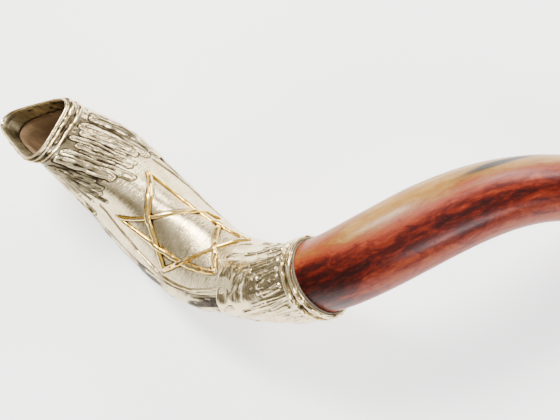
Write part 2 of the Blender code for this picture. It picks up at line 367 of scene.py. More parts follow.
def wrap_group():
    """Geometry Nodes group that wraps a chart of phase, angle and height on to the coil."""
    tree = bpy.data.node_groups.get("Wrap on the coil")
    if tree:
        return tree
    tree = bpy.data.node_groups.new("Wrap on the coil", "GeometryNodeTree")
    tree.interface.new_socket("Geometry", in_out="INPUT", socket_type="NodeSocketGeometry")
    for name, kind, default in GROUP_INPUTS:
        socket = tree.interface.new_socket(name, in_out="INPUT", socket_type=kind)
        if default is not None:
            socket.default_value = default
    tree.interface.new_socket("Geometry", in_out="OUTPUT", socket_type="NodeSocketGeometry")
    given = node(tree, "NodeGroupInput").outputs
    pitch, coil_radius, coil_decay, bell_radius, tip_radius, hammer_height, hammer_size = (
        Field(tree, given[name]) for name, _, _ in GROUP_INPUTS[:7]
    )
    chart = node(tree, "GeometryNodeInputPosition").outputs[0]
    split = node(tree, "ShaderNodeSeparateXYZ", {0: chart}).outputs
    phase, angle, height = (Field(tree, split[i]) for i in range(3))
    bore, own_radius = (
        Field(tree, node(tree, "GeometryNodeInputNamedAttribute", {"Name": name}).outputs[0])
        for name in ("bore", "own_radius")
    )

    # Hammered unevenness
    spread = {"X": angle.cos() * GRAIN_RADIUS, "Y": angle.sin() * GRAIN_RADIUS, "Z": phase * 100.0}
    skin = node(tree, "ShaderNodeCombineXYZ", spread).outputs[0]
    waves = {"Vector": skin, "Scale": 1.0 / hammer_size, "Detail": 2.0}
    uneven = Field(tree, node(tree, "ShaderNodeTexNoise", waves).outputs[0])
    height = height + (uneven - 0.5) * hammer_height

    # Sizes along the coil
    share = (phase / TIP_PHASE).limit()
    radius = tip_radius + (bell_radius - tip_radius) * (1.0 - share**TAPER_POWER)
    flare = (TIP_PHASE - phase).bell(TIP_FLARE_PHASE) * TIP_FLARE
    bare = radius - phase.bell(MOUTH_DRAW_PHASE) * MOUTH_DRAW
    wall = WALL_MOUTH + (1.0 - (-(phase / WALL_BODY_PHASE)).exp()) * WALL_BODY
    inside = bare - wall - share**3.0 * WALL_TIP
    radius = (bare + flare) * (1.0 - bore) + inside * bore + own_radius

    # Outline of the section, and the offset square to it
    fade = 1.0 - ((phase - OVAL_END) / (TIP_PHASE - OVAL_END)).limit()
    reach = section_outline(angle, phase, fade) * radius
    ahead = section_outline(angle + 0.01, phase, fade) * radius
    behind = section_outline(angle - 0.01, phase, fade) * radius
    change = (ahead - behind) / 0.02
    lift = height / (reach * reach + change * change) ** 0.5
    cos, sin = angle.cos(), angle.sin()
    out_mm = reach * cos + lift * (reach * cos + change * sin)
    side_mm = reach * sin + lift * (reach * sin - change * cos)

    # Centre and axes of the section
    turn = phase + COIL_START
    coil = coil_radius * (-(phase * coil_decay)).exp()
    step = pitch / (2 * math.pi)
    fall = -(coil * coil_decay)
    centre = {
        "X": step * (phase - phase * phase * (PITCH_LOSS / 2)),
        "Y": coil * turn.cos(),
        "Z": -(coil * turn.sin()),
    }
    ahead = {
        "X": step * (1.0 - phase * PITCH_LOSS),
        "Y": fall * turn.cos() - coil * turn.sin(),
        "Z": -(fall * turn.sin()) - coil * turn.cos(),
    }
    outward = {"Y": turn.cos(), "Z": -turn.sin()}
    centre, ahead, outward = (
        node(tree, "ShaderNodeCombineXYZ", v).outputs[0] for v in (centre, ahead, outward)
    )

    def vector(operation, *sources, **factor):
        inputs = {**dict(enumerate(sources)), **factor}
        return node(tree, "ShaderNodeVectorMath", inputs, operation=operation)

    tangent = vector("NORMALIZE", ahead).outputs[0]
    lean = vector("DOT_PRODUCT", outward, tangent).outputs["Value"]
    slant = vector("SCALE", tangent, Scale=lean).outputs[0]
    out = vector("NORMALIZE", vector("SUBTRACT", outward, slant).outputs[0]).outputs[0]
    side = vector("CROSS_PRODUCT", tangent, out).outputs[0]

    # Oblique cut of the mouth
    slope = phase.bell(CUT_FADE) * CUT_SLOPE
    slide = slope * (out_mm * math.cos(CUT_ANGLE) + side_mm * math.sin(CUT_ANGLE))
    point = centre
    for axis, amount in ((out, out_mm), (side, side_mm), (tangent, slide)):
        shift = vector("SCALE", axis, Scale=amount).outputs[0]
        point = vector("ADD", point, shift).outputs[0]

    # Into the resting frame, in metres
    point = vector("SUBTRACT", point, REST_CENTRE).outputs[0]
    rested = {
        letter: vector("DOT_PRODUCT", point, tuple(axis * 0.001)).outputs["Value"]
        for letter, axis in zip("XYZ", row_axes())
    }
    place = node(tree, "ShaderNodeCombineXYZ", rested).outputs[0]
    shape = {"Geometry": given["Geometry"], "Position": place}
    moved = node(tree, "GeometryNodeSetPosition", shape).outputs[0]
    smooth = node(tree, "GeometryNodeSetShadeSmooth", {"Geometry": moved}).outputs[0]
    real = node(tree, "GeometryNodeRealizeInstances", {"Geometry": smooth}).outputs[0]
    dress = {"Geometry": real, "Material": given["Material"]}
    dressed = node(tree, "GeometryNodeSetMaterial", dress).outputs[0]
    node(tree, "NodeGroupOutput", {"Geometry": dressed})
    return tree


# ---------------------------------------------------------------- meshes on the chart


def chart_mesh(name, phase, angle, height, facts, closed_rows=True, closed_round=True):
    """Mesh of chart coordinates with named values on its points; open rows get end caps."""
    rows, count = phase.shape
    points = np.stack([phase, angle, height], -1).reshape(-1, 3)
    i = np.arange(rows if closed_rows else rows - 1)[:, None]
    j = np.arange(count if closed_round else count - 1)[None]
    i2, j2 = (i + 1) % rows, (j + 1) % count
    corners = [i * count + j, i * count + j2, i2 * count + j2, i2 * count + j]
    faces = np.stack([np.broadcast_to(c, (i.size, j.size)) for c in corners], -1).reshape(-1, 4)
    faces = faces.tolist()
    if not closed_rows:
        first = list(range(count))
        faces += [first[::-1], [(rows - 1) * count + k for k in first]]
    mesh = bpy.data.meshes.new(name)
    mesh.from_pydata(points.tolist(), [], faces)
    for key, value in {"bore": 0.0, "own_radius": 0.0, "recess": 0.0, **facts}.items():
        data = np.broadcast_to(value, phase.shape).astype(np.float32).ravel()
        mesh.attributes.new(key, "FLOAT", "POINT").data.foreach_set("value", data)
    drift = band_angle(phase, angle)
    grain_mm = np.stack([GRAIN_RADIUS * np.cos(drift), GRAIN_RADIUS * np.sin(drift), arc(phase)], -1)
    layer = mesh.attributes.new("grain", "FLOAT_VECTOR", "POINT")
    layer.data.foreach_set("vector", grain_mm.astype(np.float32).ravel())
    return mesh


def band_angle(phase, angle):
    """Angle from the horn's pale band, which winds slowly round it."""
    phase_start, degrees_start = BAND_START
    return angle - BAND_TWIST * (phase - phase_start) - math.radians(degrees_start)


def wrap(name, mesh, material, slot, hammer=(0.0, 8.0)):
    """Wraps a chart mesh on the coil and puts it in its CAD node's place."""
    tree = wrap_group()
    source = bpy.data.objects.new(f"{name}_chart", mesh)
    bpy.context.scene.collection.objects.link(source)
    modifier = source.modifiers.new("wrap", "NODES")
    modifier.node_group = tree
    given = {
        item.name: item.identifier
        for item in tree.interface.items_tree
        if item.item_type == "SOCKET" and item.in_out == "INPUT"
    }
    horn = bpy.context.scene.shofar_sizes
    modifier[given["Pitch"]] = horn.pitch * 1000
    modifier[given["Coil Radius"]] = horn.coil_radius * 1000
    modifier[given["Bell Radius"]] = horn.bell_radius * 1000
    modifier[given["Tip Radius"]] = horn.tip_radius * 1000
    modifier[given["Hammer Height"]] = float(hammer[0])
    modifier[given["Hammer Size"]] = float(hammer[1])
    modifier[given["Material"]] = material
    depsgraph = bpy.context.evaluated_depsgraph_get()
    made = bpy.data.meshes.new_from_object(source.evaluated_get(depsgraph), depsgraph=depsgraph)
    made.name = name
    bpy.data.objects.remove(source)
    turn_outwards(made)
    piece = bpy.data.objects.new(f"look_{name}", made)
    bpy.context.scene.collection.objects.link(piece)
    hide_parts(name)
    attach(piece, "root")
    return piece


def turn_outwards(mesh):
    """Turns a closed mesh's faces round if they point inwards."""
    shape = bmesh.new()
    shape.from_mesh(mesh)
    if shape.calc_volume(signed=True) < 0:
        mesh.flip_normals()
    shape.free()


def grid(phase, angles):
    return np.meshgrid(np.asarray(phase, float), np.asarray(angles, float), indexing="ij")


def full_round(count):
    return np.arange(count) * 2 * math.pi / count


def sheet_rows(start_mm, end_mm, step):
    return phase_at(np.arange(start_mm, end_mm + step / 2, step))


def round_chart(start_mm, end_mm, step):
    """Chart of a sheet that runs right round the sleeve."""
    return grid(sheet_rows(start_mm, end_mm, step), full_round(int(SHEET_ROUND_MM / step)))


def panel_chart(first, last):
    """Chart of a sheet between two angles, with its places in millimetres along and across."""
    step = detail(0.7)
    rows = sheet_rows(arc(PANEL_START) - TUCK_MOUTH, arc(PANEL_END) + TUCK_END, step)
    phase, angle = grid(rows, np.linspace(first, last, int((last - first) * ROUND / step)))
    return phase, angle, arc(phase), angle * ROUND


def lay_sheet(name, phase, angle, height, recess, make, slot, closed, hammer, foot=None, bore=0.0):
    """Sheet closed by an underside: a ring of it beneath its rows, or a strip beneath each row."""
    if foot is None:
        height = np.maximum(height, LOWEST)
        foot = height.min() - 0.3
    axis = 0 if closed else 1
    count = phase.shape[axis]
    back = np.unique(np.append(np.arange(0, count, 6), count - 1))[::-1]

    def run_back(top, under):
        under = np.take(np.broadcast_to(under, phase.shape), back, axis)
        return np.concatenate([np.broadcast_to(top, phase.shape), under], axis)

    height, recess, bore = run_back(height, foot), run_back(recess, recess), run_back(bore, bore)
    facts = {"recess": np.clip(recess, 0, 1), "bore": bore}
    rows, places = run_back(phase, phase), run_back(angle, angle)
    mesh = chart_mesh(name, rows, places, height, facts, closed_rows=closed)
    return wrap(name, mesh, material(make), slot, hammer)


# ---------------------------------------------------------------- materials


def linear(code):
    """Linear colour of an sRGB hex code."""
    values = [int(code[i : i + 2], 16) / 255 for i in (1, 3, 5)]
    return [v / 12.92 if v <= 0.04045 else ((v + 0.055) / 1.055) ** 2.4 for v in values] + [1.0]


def new_material(name):
    made = bpy.data.materials.new(name)
    made.use_nodes = True
    return made, made.node_tree, made.node_tree.nodes["Principled BSDF"]


def point_value(tree, name):
    """A value stored on the piece's points."""
    return Field(tree, node(tree, "ShaderNodeAttribute", attribute_name=name).outputs["Fac"])


def grain(tree, across, along, fineness=3.0, roughness=0.55, distortion=0.0):
    """Cloudy pattern on the horn's own grain, its cells in millimetres across and along it."""
    place = node(tree, "ShaderNodeAttribute", attribute_name="grain").outputs["Vector"]
    stretch = {"Vector": place, "Scale": (1 / across, 1 / across, 1 / along)}
    stretched = node(tree, "ShaderNodeMapping", stretch).outputs[0]
    cells = {
        "Vector": stretched,
        "Scale": 1.0,
        "Detail": fineness,
        "Roughness": roughness,
        "Distortion": distortion,
    }
    return Field(tree, node(tree, "ShaderNodeTexNoise", cells).outputs[0])


def layered(tree, base, *layers):
    """Colour of a base with layers painted over it, each a cover from 0 to 1 and a colour."""
    for cover, colour in layers:
        inputs = {0: cover, 6: base, 7: colour}
        base = node(tree, "ShaderNodeMix", inputs, data_type="RGBA").outputs[2]
    return base


def finish_surface(tree, shader, colour, rough, relief, relief_mm):
    tree.links.new(colour, shader.inputs["Base Color"])
    tree.links.new(rough.limit(0.05, 0.95).socket, shader.inputs["Roughness"])
    bump = {"Height": relief, "Strength": 1.0, "Distance": relief_mm / 1000}
    tree.links.new(node(tree, "ShaderNodeBump", bump).outputs[0], shader.inputs["Normal"])


def silver_material(name, satin, relief_mm):
    """Warm silver, oxidised brown-black in its recesses, with painted shade laid the same way where a piece
    marks it.
    """
    made, tree, shader = new_material(name)
    looks = bpy.context.scene.shofar_colours
    recess = point_value(tree, "recess")
    cloud = grain(tree, 9.0, 16.0, 4.0)
    speck = grain(tree, 1.6, 3.0, 5.0, 0.65)
    # Brush lines run round the sleeve, coarser than real ones so that they show
    brush = grain(tree, 15.0, 2.0, 5.0, 0.7, 0.6)
    # The recess values darken the silver: oxidised hollows, and painted shade where a piece lays it in them.
    oxide = (recess * 1.25 + (cloud - 0.5) * 0.4 + (speck - 0.5) * 0.6 - 0.05).ease()
    oxide = oxide * (recess * 5.0).limit()
    haze = ((cloud - 0.4) * 3.0 + (brush - 0.5)).limit() * 0.75
    stain = ((speck - 0.35) * 2.5).limit()
    dark = layered(tree, looks.oxide, (stain * 0.4, linear("#7A6A52")))
    colour = layered(tree, looks.silver, (haze, looks.silver_haze), (oxide, dark))
    shader.inputs["Metallic"].default_value = 1.0
    rough = satin + (brush - 0.5) * 0.16 + (speck - 0.5) * 0.1 + oxide * 0.3
    finish_surface(tree, shader, colour, rough, brush * 0.9 + speck * 0.4, relief_mm)
    return made


def silver_sheet_satin():
    # Silver sheet rubbed with a fine abrasive: broad soft highlights with faint brush lines
    return silver_material("silver_sheet_satin", 0.27, 0.4)


def silver_wire_polished():
    # Drawn silver wire, buffed after soldering: thin bright lines with dark feet
    return silver_material("silver_wire_polished", 0.14, 0.1)


def silver_bark_tooled():
    # Silver sheet tooled into ridges, blackened and wiped: bright crests over dark hollows
    return silver_material("silver_bark_tooled", 0.17, 0.15)


def gold_plated_wire_polished():
    # Gold plating rubbed thin on the wire's crown, where a highlight is also painted: yellow sides round a
    # near-white middle, with painted shade at the feet
    made, tree, shader = new_material("gold_plated_wire_polished")
    looks = bpy.context.scene.shofar_colours
    crown = point_value(tree, "crown")
    speck = grain(tree, 2.2, 5.0, 4.0)
    # Near-white on the crown: plating rubbed thin, and a painted highlight.
    wear_and_highlight = ((crown - 0.86) * 6.0 + (speck - 0.5) * 4.0).limit() * 0.75
    # Dark brown down to the wire's feet: oxidised crevice and painted shade.
    foot = (1.0 - crown * 4.5).limit() * 0.85
    rich = ((speck - 0.5) * 4.0).limit() * 0.5
    colour = layered(
        tree,
        looks.gold,
        (rich, looks.gold_deep),
        (foot, linear("#5A3C14")),
        (wear_and_highlight, looks.gold_worn),
    )
    shader.inputs["Metallic"].default_value = 1.0
    rough = 0.2 + (speck - 0.5) * 0.2 + (1.0 - crown) * 0.12
    finish_surface(tree, shader, colour, rough, speck, 0.1)
    return made


def polished_horn_keratin():
    # Scraped and polished horn: tan, red-brown and near-black streaks deep under a clear shine
    made, tree, shader = new_material("polished_horn_keratin")
    looks = bpy.context.scene.shofar_colours
    band = point_value(tree, "band")
    scar = point_value(tree, "scar")
    mauve = point_value(tree, "mauve")
    length = point_value(tree, "length")
    inside = point_value(tree, "raw")
    broad = grain(tree, 22.0, 95.0, 4.0, 0.55, 0.8)
    streak = grain(tree, 6.0, 62.0, 6.0, 0.62, 0.5)
    fine = grain(tree, 1.2, 22.0, 5.0, 0.65)
    blotch = grain(tree, 8.0, 17.0, 7.0, 0.7, 0.8)
    flake = grain(tree, 2.6, 6.5, 5.0, 0.72, 0.5)
    mottle = (streak - 0.5) * 0.6 + (blotch - 0.5) * 1.1 + (flake - 0.5) * 0.5
    tone = band + (broad - 0.5) * 0.4 + mottle * (0.35 + band)
    stops = (
        (0.0, looks.horn_pale),
        (0.18, linear("#93692F")),
        (0.32, linear("#85481B")),
        (0.46, looks.horn_red),
        (0.62, linear("#6C200D")),
        (0.8, looks.horn_dark),
        (1.0, linear("#220301")),
    )
    colour = node(tree, "ShaderNodeValToRGB", {"Fac": tone}, stops).outputs[0]
    warm = ((flake - 0.5) * 4.0).limit() * ((tone - 0.3) * 3.0).limit()
    spots = ((blotch * 0.6 + flake * 0.4 - 0.55) * 9.0).limit() * ((tone - 0.45) * 4.0).limit()
    pale = ((streak - 0.55) * 5.0).limit() * (0.42 - tone).limit() * 1.5
    lines = ((fine - 0.56) * 6.0).limit() * (0.15 + tone * 0.35).limit(0.0, 0.5)
    flecks = ((fine - 0.6) * 7.0).limit() * (0.6 - tone).limit() * 0.6
    tip = ((length - 760.0) / 260.0).ease() * 0.8
    # The bore is left rough: grey-brown with ochre patches
    raw = layered(
        tree,
        linear("#7A6145"),
        (((blotch - 0.45) * 4.0).limit() * 0.6, linear("#A38A66")),
        (((flake - 0.58) * 7.0).limit() * 0.55, linear("#B5701C")),
        (((broad - 0.55) * 5.0).limit() * 0.5, linear("#5A432C")),
    )
    colour = layered(
        tree,
        colour,
        (warm * 0.35, linear("#8E3018")),
        (spots * 0.85, linear("#330705")),
        (pale, linear("#C8AA74")),
        (mauve * ((streak - 0.3) * 3.0).limit() * 0.75, linear("#946058")),
        (flecks, linear("#8F4A28")),
        (lines, linear("#220906")),
        ((scar * 1.3 + (streak - 0.5) * 0.5 * (scar * 4.0).limit()).ease(), looks.horn_scar),
        (tip, looks.horn_tip),
        (inside, raw),
    )
    # A thin clear shine lies over the grain
    shader.inputs["Specular IOR Level"].default_value = 0.15
    shader.inputs["Coat Weight"].default_value = 0.15
    shader.inputs["Coat Roughness"].default_value = 0.3
    shader.inputs["Coat IOR"].default_value = 1.5
    rough = 0.34 + (streak - 0.5) * 0.14 + inside * 0.4
    finish_surface(tree, shader, colour, rough, streak * 0.6 + fine * 0.4 + inside * blotch * 2.0, 0.15)
    return made


def filler_cement_matt():
    # Grey-brown filler paste, set matt and gritty
    made, tree, shader = new_material("filler_cement_matt")
    grit = grain(tree, 0.8, 0.8, 4.0)
    colour = layered(tree, linear("#4B3F33"), ((grit - 0.3) * 2.5, linear("#8A7B66")))
    finish_surface(tree, shader, colour, 0.85 + grit * 0.05, grit, 0.2)
    return made


def paper_floor_matt():
    # Seamless paper backdrop: even, matt, with a tooth too fine to make out
    made, tree, shader = new_material("paper_floor_matt")
    place = node(tree, "ShaderNodeTexCoord").outputs["Object"]
    cells = {"Vector": place, "Scale": 900.0, "Detail": 2.0}
    tooth = Field(tree, node(tree, "ShaderNodeTexNoise", cells).outputs[0])
    floor = bpy.context.scene.shofar_colours.floor
    colour = layered(tree, floor, (tooth * 0.2, linear("#E9E9E6")))
    finish_surface(tree, shader, colour, 0.7 + tooth * 0.1, tooth, 0.05)
    # The paper glows, as a backdrop lit from behind does
    shader.inputs["Emission Color"].default_value = (1.0, 1.0, 1.0, 1.0)
    shader.inputs["Emission Strength"].default_value = 1.6
    return made


def material(make):
    return bpy.data.materials.get(make.__name__) or make()


# ---------------------------------------------------------------- horn


def mouth_flare(depth_mm):
    """Share of the bore and height of the bore's surface, flared out at the mouth."""
    share = np.clip(depth_mm / FLARE_MM, 0.0, 1.0)
    return share, FLARE_TOP * (1 - share)


def make_horn():
    """Horn, bore and cup as one skin."""
    angles = full_round(round(108 / detail(1)))
    tip_mm = arc(TIP_PHASE)
    hidden = phase_at(np.linspace(FLARE_MM, arc(HORN_SHOWN), 40))
    shown = phase_at(np.linspace(arc(3.22), tip_mm - 0.6, round(440 / detail(1))))
    outer = np.concatenate([hidden, shown])
    edge = phase_at(tip_mm - np.array([0.25, 0.06, 0.0]))
    cup_phase = TIP_PHASE - np.array([d for d, _ in CUP]) / TIP_ARC
    deep = phase_at(np.linspace(arc(cup_phase[-1] - 0.06), FLARE_MM, round(190 / detail(1))))
    flare_mm = np.linspace(FLARE_MM, 1.0, 12)[1:]
    rows = np.concatenate([outer, edge, cup_phase, deep, flare_mm / MOUTH_ARC])
    phase, angle = grid(rows, angles)
    cup_start = len(outer) + len(edge)
    bore_start = cup_start + len(cup_phase)
    flare_start = bore_start + len(deep)
    bore = np.zeros((len(rows), 1))
    bore[bore_start:] = 1.0
    bore[flare_start:, 0], flare_height = mouth_flare(flare_mm)
    own = np.zeros((len(rows), 1))
    own[cup_start:bore_start, 0] = np.array([r for _, r in CUP]) - mean_radius(cup_phase)

    # The lip of the tip is rounded; long swells and low ridges run along the skin
    height = np.zeros(phase.shape)
    height[len(outer) + 1] = -0.15
    height[len(outer) + 2] = -0.6
    height[flare_start:] = flare_height[:, None] + LIP_OVER
    drift = np.degrees(band_angle(phase, angle)) % 360
    swells = noise(arc(phase) / 90, drift / 30, 3, 12) * 0.4 + noise(arc(phase) / 22, drift / 60, 4, 6) * 0.14
    ridges = noise(arc(phase) / 60, drift / 9, 5, 40) * 0.12
    skin = (phase > HORN_SHOWN) & (bore < 0.5) & (phase < SWELLS_END)
    height = height + np.where(skin, swells + ridges, 0.0)

    signed = (drift + 180) % 360 - 180
    band = np.interp(drift, *np.array(HORN_BAND, float).T)
    far = ease((phase - 7.0) / 3.0) * 0.15
    band = band + far + 0.34 * bump_at(phase, 3.4, 0.45) + 0.08 * bump_at(phase, 4.7, 0.5)
    facts = {
        "bore": bore,
        "raw": np.arange(len(rows))[:, None] >= bore_start,
        "own_radius": own,
        "band": band,
        "scar": bump_at(phase, 5.2, 0.34) * bump_at(signed, -9 - 20 * (phase - 5.2), 9),
        "mauve": bump_at(phase, 5.0, 0.65) * bump_at(signed, 24, 11),
        "length": arc(phase),
    }
    mesh = chart_mesh("horn", phase, angle, height, facts)
    wrap("horn", mesh, material(polished_horn_keratin), "horn")


# ---------------------------------------------------------------- worked silver


def loops(length, across, around_mm, seed, spacing, starts, ends, halves):
    """Long closed loops of wire side by side: wire, inside, dark line beside and dark core."""
    rng = np.random.default_rng(seed)
    count = int(around_mm / spacing)
    wire, inside, beside, core = (np.zeros(length.shape) for _ in range(4))
    for k in range(count):
        middle = (k + 0.5 + rng.uniform(-0.18, 0.18)) * around_mm / count
        first, last = rng.uniform(*starts), rng.uniform(*ends)
        half = rng.uniform(*halves)
        sway = noise(length / 19.0, k * 3.7, seed + 5) * 1.1 + noise(length / 7.0, k * 2.9, seed + 6) * 0.45
        off = (across - middle - sway + around_mm / 2) % around_mm - around_mm / 2
        pinch = half * (1 - 0.3 * noise(length / 12.0, k * 1.3, seed + 7))
        nearest = np.clip(length, first + half, last - half)
        d = np.hypot(off, length - nearest) - pinch
        thick = 0.72 + 0.2 * noise(length / 6.0, k * 1.9, seed + 9)
        crest = np.exp(-((d / thick) ** 2)) * (0.85 + 0.3 * noise(length / 9.0, k * 2.3, seed + 2))
        wire = np.maximum(wire, crest)
        inside = np.maximum(inside, np.clip(-d / 0.6, 0, 1))
        beside = np.maximum(beside, bump_at(d, thick + 0.9, 0.7))
        gate = np.clip(noise(length / 8.0, k * 4.1, seed + 3) + 0.35, 0, 1)
        core = np.maximum(core, (d < 0) * bump_at(off, 0.3, 0.55) * gate)
    return wire, inside, np.clip(beside - wire * 1.2 - inside, 0, 1), np.clip(core - wire, 0, 1)


def mouth_loops(length, angle):
    """The loops of the mouth's tooled sheet, at a length from the mouth collar."""
    reach = arc(PANEL_START) - arc(COLLAR_END)
    ends = (reach - 16.0, reach + 9.0)
    total = 2 * math.pi * MOUTH_ROUND
    return loops(length, angle * MOUTH_ROUND, total, 11, 8.3, (2.0, 14.0), ends, (1.6, 2.8))


def make_mouth_bark():
    """Tooled sheet by the mouth: long loops that run out over the smooth panel."""
    start, joint = arc(COLLAR_END), arc(PANEL_START)
    phase, angle = round_chart(start, joint + 11.0, detail(0.5))
    length, across = arc(phase) - start, angle * MOUTH_ROUND
    total = 2 * math.pi * MOUTH_ROUND
    reach = joint - start
    wire, inside, beside, core = mouth_loops(length, angle)
    small, _, small_beside, _ = loops(
        length, across + 4.1, total, 23, 8.3, (8.0, 30.0), (34.0, reach - 14.0), (0.3, 0.7)
    )
    streaks = around_noise(length, across, 15.0, 1.5, 7, total)
    pits = around_noise(length, across, 5.0, 2.6, 8, total)
    patch = bump_at(length, 34, 22) * bump_at(angle, math.radians(126), 0.38)
    patch = patch * (0.65 + 0.35 * around_noise(length, across, 9.0, 5.0, 12, total))
    sunk = ease((length - (reach - 9.0) - 3.0 * around_noise(length, across, 40.0, 7.0, 3, total)) / 4.0)
    bare = 1 - np.clip(np.maximum(wire, inside) * 2.0, 0, 1)
    small = small * (1 - inside * 0.2) * (1 - sunk)
    height = -0.3 + wire * 1.35 * (1 - 0.45 * patch) + small * 0.75 - inside * 0.1 + streaks * 0.15
    height = height + patch * (np.clip(pits, 0, 1) * 0.9 - 0.5)
    height = height + 0.6 * sunk * (1 - bare) - 2.4 * sunk * bare
    valley = np.clip(1 - wire * 1.6 - small, 0, 1)
    gaps = 0.25 + 0.2 * around_noise(length, across, 22.0, 11.0, 13, total)
    recess = valley * gaps * bare + beside * (0.75 + 0.35 * pits) + small_beside * 0.35
    recess = recess + inside * valley * (0.16 + np.clip(pits - 0.1, 0, 1) * 0.5) + core * 0.7
    recess = recess + patch * valley * 0.75
    # Painted shade: the side of the sheet round 195 degrees is darkened through its recess values.
    painted_side_shade = bump_at(np.degrees(angle), 195, 34) * (0.42 + 0.35 * pits)
    recess = recess * (1 - 0.8 * sunk * (1 - bare)) + bump_at(length, 0.0, 2.0) * 0.5 + painted_side_shade
    lay_sheet(
        "mouth_bark_jacket", phase, angle, SHEET_TOP + height, recess,
        silver_bark_tooled, "silver_bark", True, (0.8, 9.0),
    )


def make_end_bark():
    """Tooled sheet at the horn end: knotty loops that rise out of a soft swell."""
    end, joint = arc(END_COLLAR_START), arc(PANEL_END)
    phase, angle = round_chart(joint - 18.0, end, detail(0.5))
    back, across = end - arc(phase), angle * END_ROUND
    total = 2 * math.pi * END_ROUND
    lean = across + back * 0.14
    wire, _, beside, core = loops(
        back, lean, total, 41, 5.6, (-4.0, 7.0), (16.0, 52.0), (0.4, 1.5)
    )
    small, _, small_beside, _ = loops(
        back, lean + 3.0, total, 57, 6.0, (1.0, 12.0), (14.0, 34.0), (0.2, 0.5)
    )
    lumps = around_noise(back, lean, 9.0, 5.0, 9, total)
    swirls = around_noise(back + 6 * lumps, lean, 16.0, 8.0, 16, total)
    slits = np.clip(around_noise(back, lean, 10.0, 2.2, 15, total) - 0.2, 0, 1)
    degrees = np.degrees(angle)
    underside = 0.35 + 0.65 * bump_at(degrees, 245, 75)
    slits = slits * underside * (1 - ease((back - 30) / 20))
    rise = end - arc(np.interp(degrees, [0, 100, 171, 215, 261, 360], [2.42, 2.36, 2.3, 2.37, 2.43, 2.42]))
    sunk = ease((back - rise + 2.0 - 3.0 * around_noise(back, across, 30.0, 8.0, 6, total)) / 4.0)
    relief = 1 - ease((back - rise + 22.0) / 20.0)
    near = bump_at(back, 0.0, 20.0)
    height = 0.15 + relief * (-0.3 + wire * 1.2 + small * 0.7)
    height = height + lumps * 0.3 + swirls * 0.45 * (1 - sunk) - slits * 1.3 - 2.6 * sunk
    valley = np.clip(1 - wire * 1.5 - small, 0, 1)
    recess = relief * (valley * 0.1 + beside * (0.06 + 0.34 * underside) + small_beside * 0.14 + core * 0.28)
    recess = recess + slits * 0.75 + near * valley * 0.08 + np.clip(-swirls - 0.4, 0, 1) * 0.25
    lay_sheet(
        "horn_end_bark_jacket", phase, angle, SHEET_TOP + height, recess,
        silver_bark_tooled, "silver_bark", True, (1.0, 8.0),
    )


def make_star_panel():
    """Smooth sheet under the star, crowned in its middle, darkened along the wires and in their corners:
    partly oxidised, partly painted shade.
    """
    phase, angle, length, across = panel_chart(*PANEL_ANGLES)
    stars = [flat(corners) for corners in (STAR_A, STAR_B)]
    near_a, near_b = (path_distance(length, across, star, True) for star in stars)
    near = np.minimum(near_a, near_b)
    middle = np.mean(np.concatenate(stars), 0)
    pillow = ease(1.25 - np.hypot((length - middle[0]) / 30, (across - middle[1]) / 26)) * 0.9
    swell = noise(length / 26, across / 20, 5) * 0.15
    patchy = np.clip(0.7 + 0.6 * noise(length / 11, across / 9, 17), 0, 1)
    half = bpy.context.scene.shofar_sizes.star_width * 500
    groove = bump_at(near, half + 0.3, 0.7) * patchy
    nook = bump_at(near_a, half, 1.6) * bump_at(near_b, half, 1.6)
    for star in stars:
        for corner in star:
            inward = (middle - corner) / np.linalg.norm(middle - corner)
            spot = corner + inward * 8.0
            nook = np.maximum(nook, bump_at(np.hypot(length - spot[0], across - spot[1]), 0.0, 3.0) * 0.8)
    borders = [path_distance(length, across, flat(knots)) for knots in (LOWER_BORDER, UPPER_BORDER)]
    border_line = bump_at(np.minimum(*borders), 1.2, 0.5)
    pocks = np.clip(noise(length / 1.5, across / 1.5, 31) - 0.95, 0, 1) * 8
    shadow = mouth_loops(length - arc(COLLAR_END), angle)[2]
    height = pillow + swell - groove * 0.3 - border_line * 0.25 - pocks * 0.3 - 0.1
    # Darker along the star's wires and in its corners, oxidised and painted shade; the loops' painted shadow
    # where they run out over the panel.
    recess = groove * 0.85 + nook * 0.6 + border_line * 0.75 + pocks + shadow
    lay_sheet(
        "star_panel", phase, angle, SHEET_TOP + height, recess,
        silver_sheet_satin, "silver", False, (0.4, 14.0),
    )


def make_back_panel():
    """Bark-textured sheet round the back, from border to border."""
    phase, angle, length, across = panel_chart(PANEL_ANGLES[1], PANEL_ANGLES[0] + 2 * math.pi)
    lean = across + 3.0 * noise(length / 30, across / 25, 60)
    streaks = noise(length / 18, lean / 2.8, 61)
    ridges = np.clip(noise(length / 26, lean / 3.4, 64) * 1.6, -1, 1)
    lumps = noise(length / 7, lean / 5, 62)
    slits = np.clip(noise(length / 13, lean / 1.9, 63) - 0.25, 0, 1)
    height = streaks * 0.3 + ridges * 0.6 + lumps * 0.3 - slits * 1.0 - 0.1
    shadow = mouth_loops(length - arc(COLLAR_END), angle)[2]
    # The even 0.34 is painted shade over the whole back panel, with the loops' painted shadow where they run
    # out over it.
    recess = slits * 1.2 + np.clip(-ridges - 0.05, 0, 1) * 0.95 + 0.34 + shadow
    lay_sheet(
        "back_bark_panel", phase, angle, SHEET_TOP + height, recess,
        silver_bark_tooled, "silver_bark", False, (0.8, 10.0),
    )


